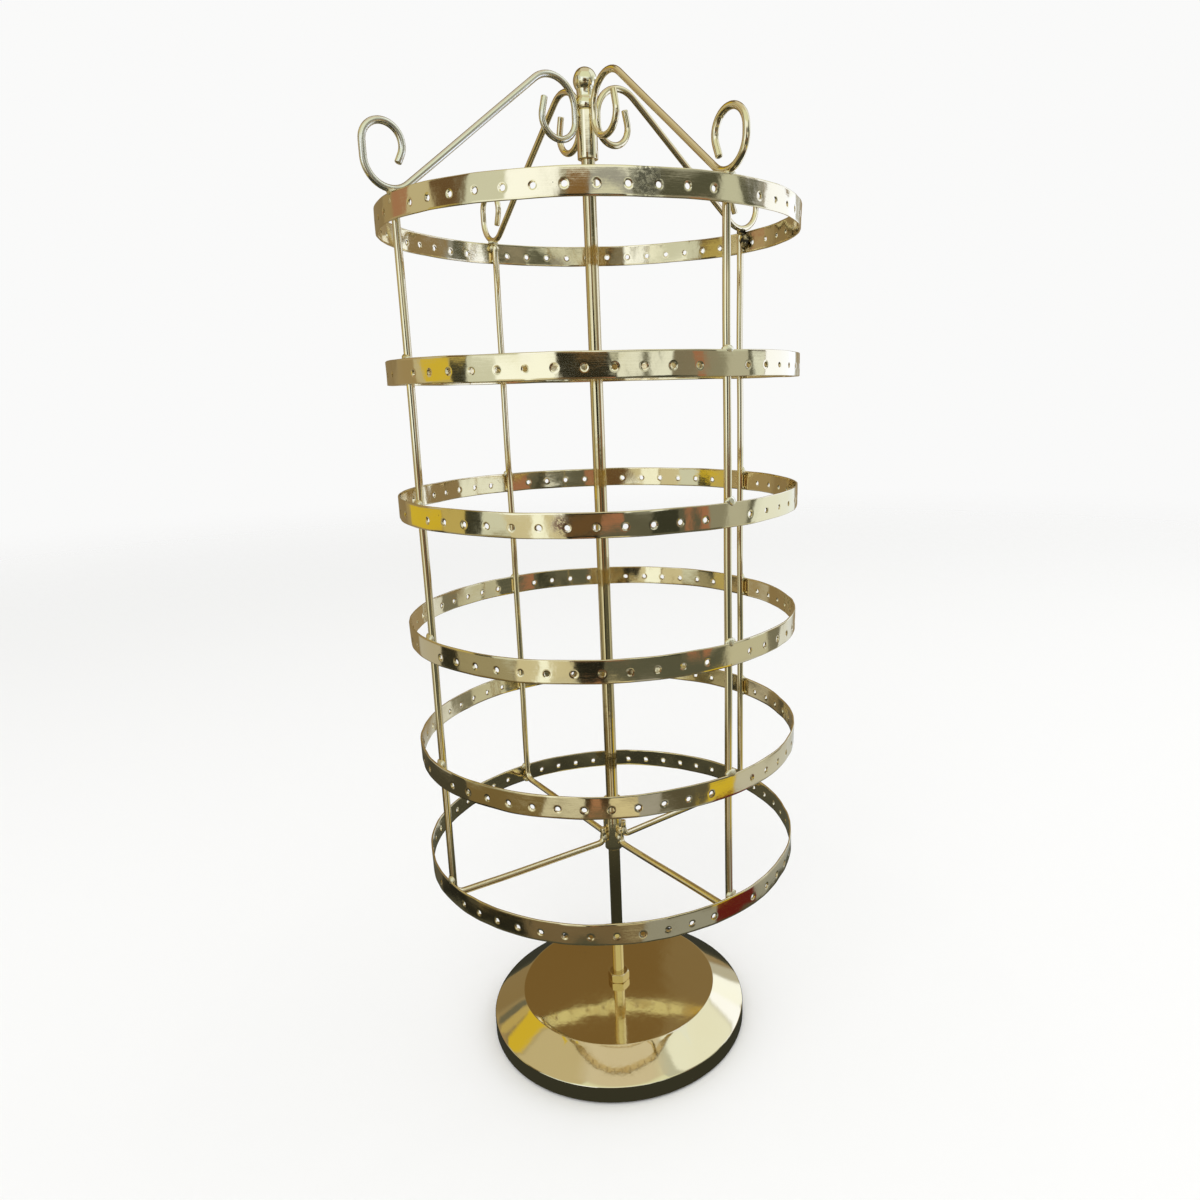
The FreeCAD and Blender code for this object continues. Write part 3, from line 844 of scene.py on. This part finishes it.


# Cards far off, all round. Azimuths go from the camera's side to its right, elevations from
# the horizon, in degrees: from, to, from, to, softness, colour that the gold shows there.
# The colours here, in NEAR_CARDS and in TABLE were listed from colour readings of the
# photographed bands, then adjusted against them.
FAR_CARDS = [
    # the table's far part
    (-180, 180, -90, -37.5, 2, (56, 54, 38)),
    (-180, -128, -38, -29, 3, (80, 72, 48)),
    (-128, -52, -38, -29, 3, (34, 32, 21)),
    (-52, 20, -38, -29, 4, (108, 90, 58)),
    (20, 180, -38, -29, 4, (142, 138, 114)),
    (68, 100, -37.5, -28.4, 1.2, (92, 28, 20)),
    (-180, -86, -29, -21, 3, (66, 60, 40)),
    (-86, -34, -29, -21, 4, (112, 92, 50)),
    (-34, -13, -29, -21, 2, (196, 186, 144)),
    (-13, 5, -29, -21, 2, (66, 50, 28)),
    (-8, -2, -29, -21, 2, (158, 112, 72)),
    (5, 20, -29, -21, 2, (204, 188, 134)),
    (20, 33, -29, -21, 2, (156, 150, 128)),
    (33, 59, -29, -21, 3, (84, 76, 52)),
    (59, 83, -28.4, -21, 1.2, (200, 170, 44)),
    (83, 180, -29, -21, 4, (186, 180, 150)),
    # the left of the room
    (-180, -132, -21, 26, 5, (132, 110, 66)),
    (-132, -100, -21, -12, 3, (172, 160, 124)),
    (-102, -87, -21, -12, 2, (45, 42, 27)),
    (-87, -52, -21, -12, 3, (150, 138, 96)),
    (-132, -86, -12, 26, 4, (150, 128, 80)),
    (-118, -104, 6, 18, 3, (156, 112, 74)),
    (-104, -76, -4, 26, 3, (184, 170, 122)),
    (-88, -74, -12, 5, 2, (182, 160, 84)),
    (-80, -67, 6, 28, 3, (98, 74, 42)),
    (-75, -65, -13, 6, 1, (54, 52, 35)),
    (-65, -36, -13, 34, 2, (200, 198, 163)),
    (-50, -15, -21, -3, 3, (198, 185, 136)),
    (-34, -26, -21, -3, 2, (244, 242, 206)),
    (-50, -16, -3, 6, 2, (250, 249, 220)),
    (-37, -16, 6, 40, 3, (252, 251, 228)),
    # the middle
    (-15, 3, -21, -12, 2, (31, 30, 20)),
    (-17, 5, -12, -3, 2, (98, 72, 40)),
    (5, 15, -12, -3, 2, (152, 104, 69)),
    (-15, 18, -3, 6, 2, (40, 38, 25)),
    (-8, 6, 6, 17, 2, (124, 92, 48)),
    (6, 27, 6, 15, 2, (150, 147, 129)),
    (-16, 38, 15, 40, 2, (238, 236, 204)),
    (3, 76, -21, -12, 5, (84, 82, 60)),
    (15, 55, -12, -3, 3, (88, 84, 61)),
    (33, 47, -12, -3, 2, (54, 53, 36)),
    (18, 40, -3, 6, 2, (226, 224, 193)),
    (26, 31, -3, 6, 3, (104, 100, 76)),
    (40, 55, -3, 6, 3, (122, 112, 84)),
    (54, 64, -12, 6, 2, (152, 104, 69)),
    (27, 70, 6, 16, 3, (78, 76, 54)),
    (38, 76, 16, 28, 3, (150, 147, 120)),
    # the right of the room
    (64, 77, -12, 6, 3, (134, 128, 98)),
    (76, 93, -12, 26, 3, (174, 169, 136)),
    (76, 110, -21, -12, 3, (184, 177, 138)),
    (88, 95, -12, 6, 2, (96, 93, 70)),
    (70, 88, 6, 15, 2, (188, 186, 152)),
    (88, 97, 6, 15, 2, (82, 80, 58)),
    (97, 107, 6, 18, 3, (138, 134, 114)),
    (95, 108, -12, 6, 3, (218, 218, 188)),
    (104, 134, -12, 14, 4, (134, 113, 72)),
    (110, 127, -21, -12, 3, (115, 109, 82)),
    (127, 148, -21, -12, 3, (210, 206, 178)),
    (96, 146, 14, 28, 4, (254, 253, 240)),
    (134, 147, -12, 26, 3, (250, 249, 226)),
    (147, 155, -21, 26, 3, (178, 170, 138)),
    (155, 180, -21, 26, 4, (146, 124, 80)),
    # low enough for the inside of the top band
    (-122, -98, 4, 9, 1, (164, 142, 94)),
    (-86, -66, 4, 9, 1, (172, 150, 76)),
    (-58, -36, 4, 9, 1, (234, 232, 198)),
    (8, 42, 4, 9, 1, (206, 202, 164)),
    (42, 70, 4, 9, 1, (138, 128, 98)),
    # overhead
    (-180, -126, 26, 62, 8, (114, 87, 42)),
    (144, 180, 26, 62, 8, (126, 103, 60)),
    (-130, -125, 15, 24, 1, (104, 97, 70)),
    (-125, -119, 19, 30, 1, (178, 154, 84)),
    (-121, -103, 27, 48, 1.5, (200, 168, 44)),
    (-103, -46, 32, 66, 6, (186, 168, 116)),
    (-46, 60, 26, 66, 6, (214, 211, 162)),
    (58, 72, 28, 66, 3, (184, 180, 146)),
    (72, 144, 28, 66, 5, (228, 225, 190)),
    (-180, 180, 64, 90, 6, (200, 184, 140)),
]
WALL = (120, 108, 76)

# Cards that stand close to the rack, on a circle of this radius, in millimetres: azimuths
# from and to, heights from and to, colour. Each shows on the bands near its own height.
NEAR_RADIUS = 200.0
NEAR_CARDS = [
    (80, 119, 215, 292, (226, 225, 195)),
    (83, 102, 292, 448, (252, 252, 240)),
    (83, 102, 448, 600, (212, 209, 172)),
    (102, 119, 292, 433, (252, 252, 240)),
    (-102, -69, 257, 274, (198, 168, 44)),
    (-77, -59, 334, 352, (200, 170, 50)),
]
TABLE = [(0.0, (50, 48, 34)), (140.0, (54, 52, 37)), (225.0, (80, 76, 53))]  # radius, colour
TABLE_HEIGHT = 0.2


def soft_step(value, edge, softness):
    t = min(1.0, max(0.0, (value - edge) / softness + 0.5))
    return t * t * (3 - 2 * t)


def room_light(azimuth, elevation, cards):
    light = shown(*WALL)
    for left, right, low, high, softness, colour in cards:
        cover = soft_step(elevation, low, softness) * (1 - soft_step(elevation, high, softness))
        if left > -180:
            cover *= soft_step(azimuth, left, softness)
        if right < 180:
            cover *= 1 - soft_step(azimuth, right, softness)
        light = [a + (b - a) * cover for a, b in zip(light, colour)]
    return light


def light_material():
    n = Nodes("room_light")
    colour = n.add("ShaderNodeAttribute", attribute_name="light").outputs["Color"]
    shader = n.add("ShaderNodeEmission", {"Color": colour, "Strength": 1.0})
    material = n.finish(shader.outputs["Emission"])
    material.cycles.emission_sampling = "NONE"
    return material


def only_reflected(name, shape, lights, material, height=0.0):
    """A coloured light that only the plating's reflections see."""
    mesh = bpy.data.meshes.new(name)
    mesh.from_pydata([Vector(p) * MM for p in shape.points], [], shape.faces)
    mesh.shade_smooth()
    layer = mesh.color_attributes.new("light", "FLOAT_COLOR", "POINT")
    layer.data.foreach_set("color", [v for light in lights for v in (*light, 1.0)])
    mesh.materials.append(material)
    obj = bpy.data.objects.new(name, mesh)
    scene.collection.objects.link(obj)
    obj.location = (0, 0, height)
    obj.rotation_euler = (0, 0, math.radians(-90 - CAMERA_HEADING))
    obj.visible_camera = obj.visible_diffuse = obj.visible_shadow = False
    obj.visible_transmission = obj.visible_volume_scatter = False


def reflected_room():
    """Soft boxes, cards and dark gaps round the rack, and the table near it."""
    material = light_material()
    cards = [(*card[:5], shown(*card[5])) for card in FAR_CARDS]
    dome, lights, rows = Shape(), [], []
    across, up = 360, 180
    for j in range(up + 1):
        elevation = -90 + 180 * j / up
        row = []
        for i in range(across):
            azimuth = -180 + 360 * i / across
            a, e = math.radians(azimuth), math.radians(elevation)
            out = Vector((math.cos(a) * math.cos(e), math.sin(a) * math.cos(e), math.sin(e)))
            row.append(dome.point(*(out * ROOM_RADIUS / MM)))
            lights.append(room_light(azimuth, elevation, cards))
        rows.append(row)
    dome.strips(rows)
    only_reflected("far_cards", dome, lights, material, ROOM_HEIGHT)

    near, lights = Shape(), []
    for left, right, low, high, colour in NEAR_CARDS:
        rows = []
        for height in (low, high):
            row = []
            for k in range(17):
                a = math.radians(left + (right - left) * k / 16)
                row.append(near.point(NEAR_RADIUS * math.cos(a), NEAR_RADIUS * math.sin(a), height))
            rows.append(row)
            lights += [shown(*colour)] * len(row)
        near.strip(*rows, closed=False)
    only_reflected("near_cards", near, lights, material)

    table, lights, rows = Shape(), [], []
    for radius, colour in TABLE:
        rows.append(table.ring(radius, TABLE_HEIGHT, 64))
        lights += [shown(*colour)] * 64
    table.strips(rows)
    only_reflected("table_top", table, lights, material)


reflected_room()


# ---------------------------------------------------------------- floor, light and camera
FLOOR_RINGS = (100, 250, 500, 900, 1500, 2200, 3000)
FLOOR_FADE = (0.9, 2.6)  # metres


def floor():
    """A pale floor that fades into the backdrop. The plating doesn't reflect it."""
    shape = Shape()
    shape.strips([[shape.point(0, 0, 0)] * 96] + [shape.ring(r, 0, 96) for r in FLOOR_RINGS])
    n = Nodes("pale_floor")
    place = n.place()
    far = n.add("ShaderNodeVectorMath", {0: place}, operation="LENGTH").outputs["Value"]
    paint = n.add("ShaderNodeBsdfPrincipled", {
        "Base Color": (0.88, 0.88, 0.87, 1.0), "Roughness": 0.8, "Specular IOR Level": 0.1,
    })
    clear = n.add("ShaderNodeBsdfTransparent")
    blend = n.add("ShaderNodeMixShader", {0: n.ramp(far, *FLOOR_FADE)})
    n.tree.links.new(paint.outputs["BSDF"], blend.inputs[1])
    n.tree.links.new(clear.outputs["BSDF"], blend.inputs[2])
    mesh = shape.mesh("floor", 30.0)
    mesh.materials.append(n.finish(blend.outputs["Shader"]))
    obj = bpy.data.objects.new("floor", mesh)
    scene.collection.objects.link(obj)
    obj.visible_glossy = False


def area_light(name, place, aim, size, power):
    data = bpy.data.lights.new(name, "AREA")
    data.shape, data.size, data.energy = "DISK", size, power
    obj = bpy.data.objects.new(name, data)
    scene.collection.objects.link(obj)
    obj.location = place
    obj.rotation_euler = (Vector(aim) - Vector(place)).to_track_quat("-Z", "Y").to_euler()
    obj.visible_camera = obj.visible_glossy = False


def world():
    """Even white light, and a pale backdrop that only the camera sees."""
    studio = bpy.data.worlds.new("studio")
    scene.world = studio
    studio.use_nodes = True
    tree = studio.node_tree
    tree.nodes.clear()
    rays = tree.nodes.new("ShaderNodeLightPath")
    fill, backdrop = tree.nodes.new("ShaderNodeBackground"), tree.nodes.new("ShaderNodeBackground")
    fill.inputs["Color"].default_value = (1.0, 1.0, 1.0, 1.0)
    fill.inputs["Strength"].default_value = 0.92
    backdrop.inputs["Color"].default_value = (0.955, 0.955, 0.95, 1.0)
    blend, output = tree.nodes.new("ShaderNodeMixShader"), tree.nodes.new("ShaderNodeOutputWorld")
    tree.links.new(rays.outputs["Is Camera Ray"], blend.inputs[0])
    tree.links.new(fill.outputs[0], blend.inputs[1])
    tree.links.new(backdrop.outputs[0], blend.inputs[2])
    tree.links.new(blend.outputs[0], output.inputs["Surface"])


def camera():
    heading, pitch, roll = (math.radians(v) for v in (CAMERA_HEADING, CAMERA_PITCH, CAMERA_ROLL))
    level = Vector((math.sin(heading), math.cos(heading), 0))
    forward = level * math.cos(pitch) - Vector((0, 0, math.sin(pitch)))
    right = Vector((math.cos(heading), -math.sin(heading), 0))
    up = right.cross(forward)
    right, up = right * math.cos(roll) + up * math.sin(roll), up * math.cos(roll) - right * math.sin(roll)
    data = bpy.data.cameras.new("camera")
    data.sensor_width, data.lens = 36.0, CAMERA_LENS
    data.shift_x, data.shift_y = CAMERA_SHIFT
    data.clip_start, data.clip_end = 0.01, 50.0
    obj = bpy.data.objects.new("camera", data)
    scene.collection.objects.link(obj)
    turn = Matrix((right, up, -forward)).transposed().to_4x4()
    obj.matrix_world = Matrix.Translation(CAMERA_PLACE) @ turn
    scene.camera = obj


floor()
area_light("key", (-1.1, -0.9, 1.9), (0, 0, 0.1), 1.6, 12.0)
area_light("fill", (1.5, -0.4, 1.5), (0, 0, 0.1), 1.6, 5.0)
world()
camera()
scene.view_settings.view_transform = "Standard"
